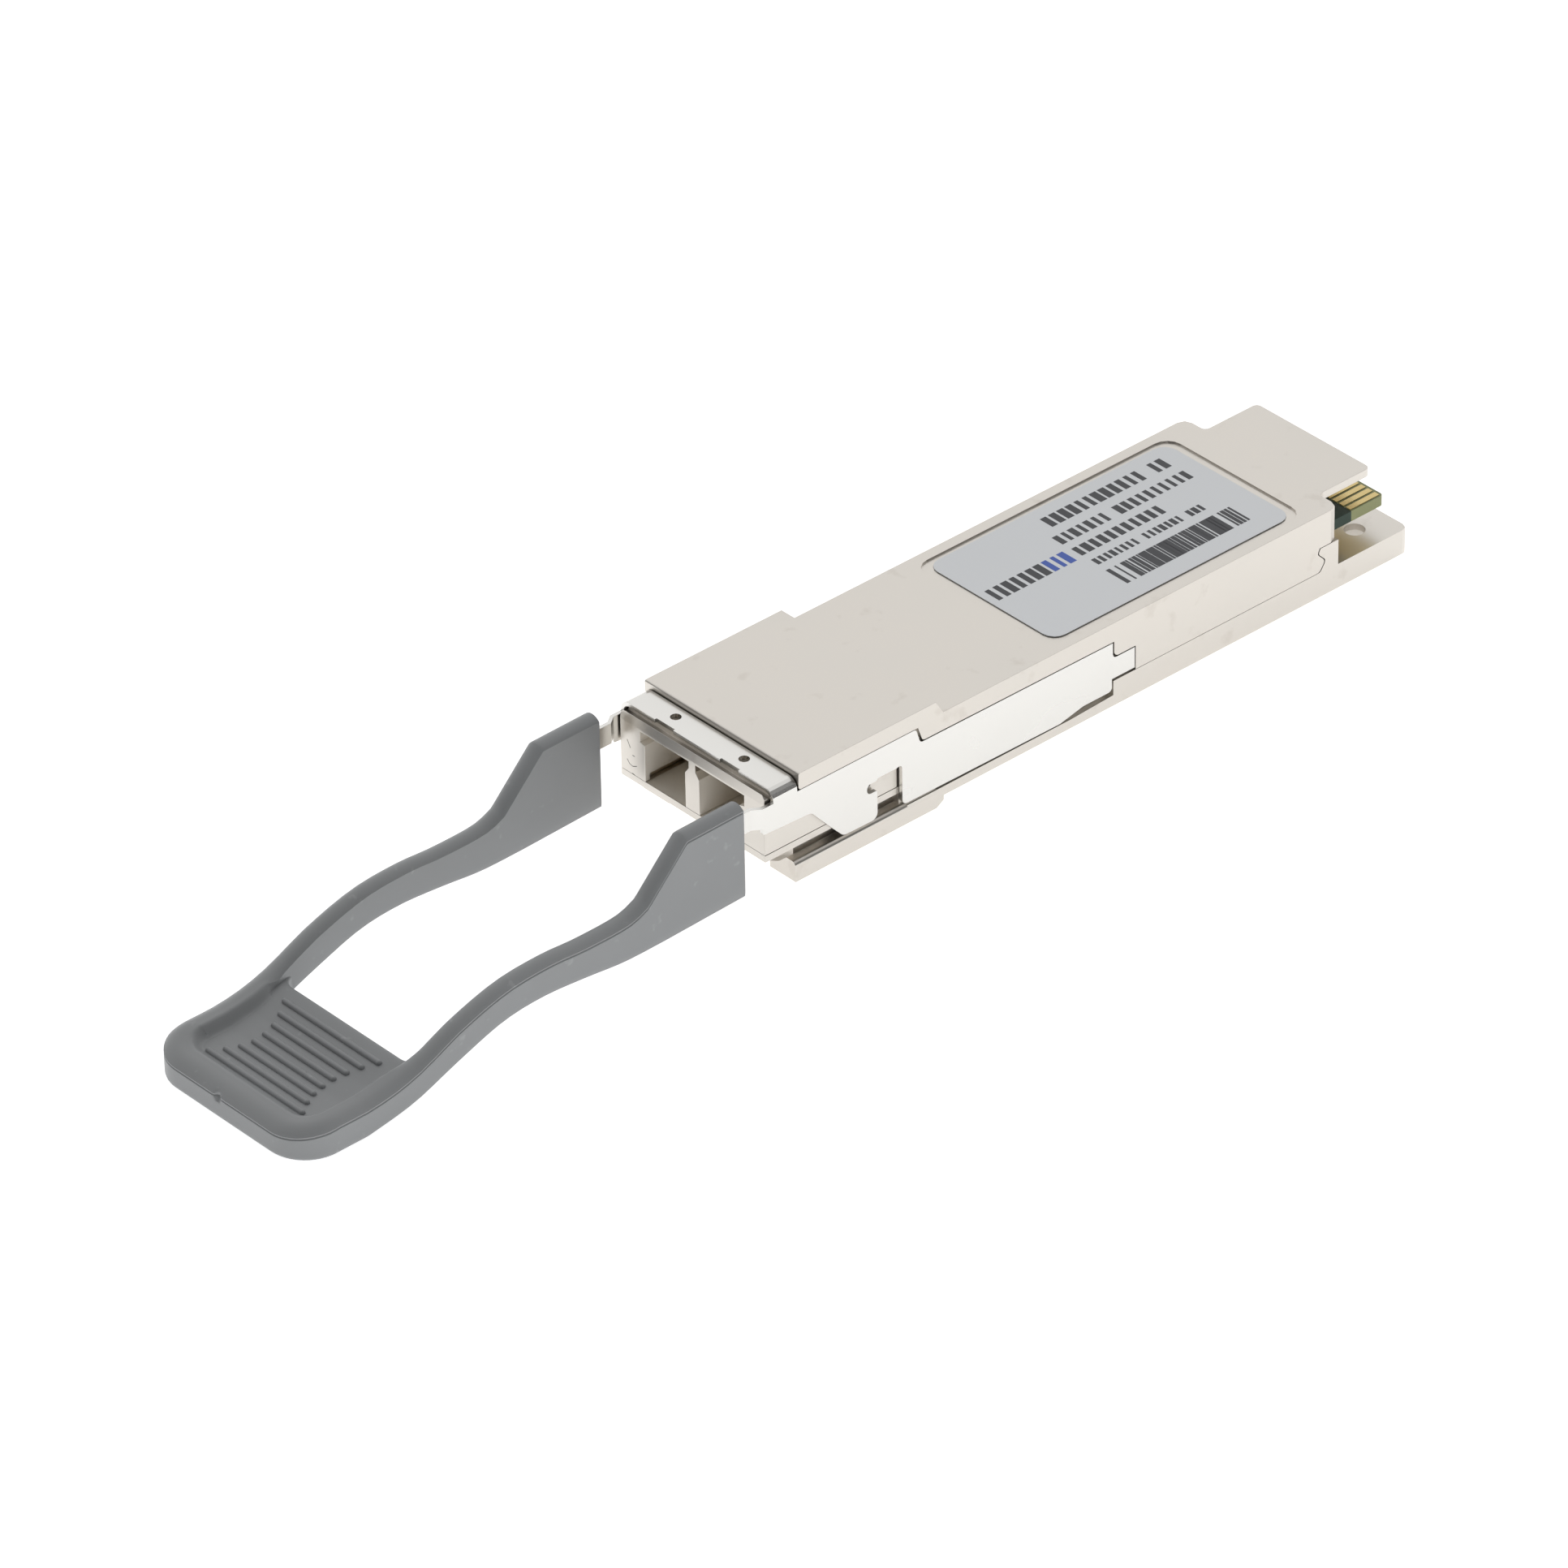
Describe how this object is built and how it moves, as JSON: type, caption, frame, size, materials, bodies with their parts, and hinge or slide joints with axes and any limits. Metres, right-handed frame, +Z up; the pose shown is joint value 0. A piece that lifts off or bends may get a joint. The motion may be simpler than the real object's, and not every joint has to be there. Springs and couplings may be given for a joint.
{
  "type": "optical transceiver module",
  "caption": "Hot-pluggable optical transceiver module with a duplex LC receptacle, die-cast shells, a sprung release slider and a moulded pull tab.",
  "frame": {"origin": "centre of the base of the module's box; the pull tab's grip underside is the lowest face", "axes": "+X from the pull tab to the card edge, +Y across the module, +Z up out of the label side"},
  "size_m": [0.1204, 0.019, 0.0129],
  "materials": {
    "die_cast_nickel": "zinc die casting, satin nickel plate",
    "stamped_steel": "stamped stainless sheet, bright",
    "tab_plastic": "moulded mid-grey thermoplastic, fine matte",
    "spring_wire": "drawn stainless spring wire",
    "turned_brass": "turned and gold flashed",
    "zirconia": "ground white ceramic",
    "header_can": "nickel-plated drawn can",
    "polyimide": "amber flexible circuit film",
    "board_laminate": "glass-epoxy laminate, dark green solder mask",
    "contact_gold": "hard gold plate",
    "chip_epoxy": "moulded black epoxy",
    "thermal_silicone": "soft grey-blue thermal pad",
    "capacitor_ceramic": "fired ceramic, tinned ends",
    "inductor_ferrite": "ferrite, ground",
    "gasket_elastomer": "conductive elastomer",
    "label_film": "printed polyester film",
    "screw_steel": "zinc-plated steel"
  },
  "bodies": {
    "module": {"upper_shell": "die_cast_nickel", "lower_shell": "die_cast_nickel", "lc_receptacle": "die_cast_nickel", "left_return_spring": "spring_wire", "right_return_spring": "spring_wire", "transmitter_barrel": "turned_brass", "receiver_barrel": "turned_brass", "transmitter_ferrule": "zirconia", "receiver_ferrule": "zirconia", "transmitter_can": "header_can", "receiver_can": "header_can", "subassembly_clamp": "stamped_steel", "transmitter_flex": "polyimide", "receiver_flex": "polyimide", "main_circuit_board": "board_laminate", "edge_contacts_top": "contact_gold", "edge_contacts_bottom": "contact_gold", "laser_driver_chip": "chip_epoxy", "receiver_chip": "chip_epoxy", "retimer_chip": "chip_epoxy", "microcontroller": "chip_epoxy", "crystal": "header_can", "driver_thermal_pad": "thermal_silicone", "receiver_thermal_pad": "thermal_silicone", "retimer_thermal_pad": "thermal_silicone", "capacitor_1": "capacitor_ceramic", "capacitor_2": "capacitor_ceramic", "capacitor_3": "capacitor_ceramic", "capacitor_4": "capacitor_ceramic", "inductor_1": "inductor_ferrite", "inductor_2": "inductor_ferrite", "inductor_3": "inductor_ferrite", "inductor_4": "inductor_ferrite", "screw_1": "screw_steel", "screw_2": "screw_steel", "screw_3": "screw_steel", "screw_4": "screw_steel", "emi_gasket": "gasket_elastomer", "top_label": "label_film", "underside_label": "label_film"},
    "release_slider": {"slider_bracket": "stamped_steel", "pull_tab": "tab_plastic"}
  },
  "joints": [
    {"name": "release_pull", "type": "slide", "parent": "module", "child": "release_slider", "axis": [-1, 0, 0], "range_m": [0, 0.0025], "stiffness_N_per_m": 1040, "springref_m": -0.0015, "deforming": ["left_return_spring", "right_return_spring"]}
  ]
}
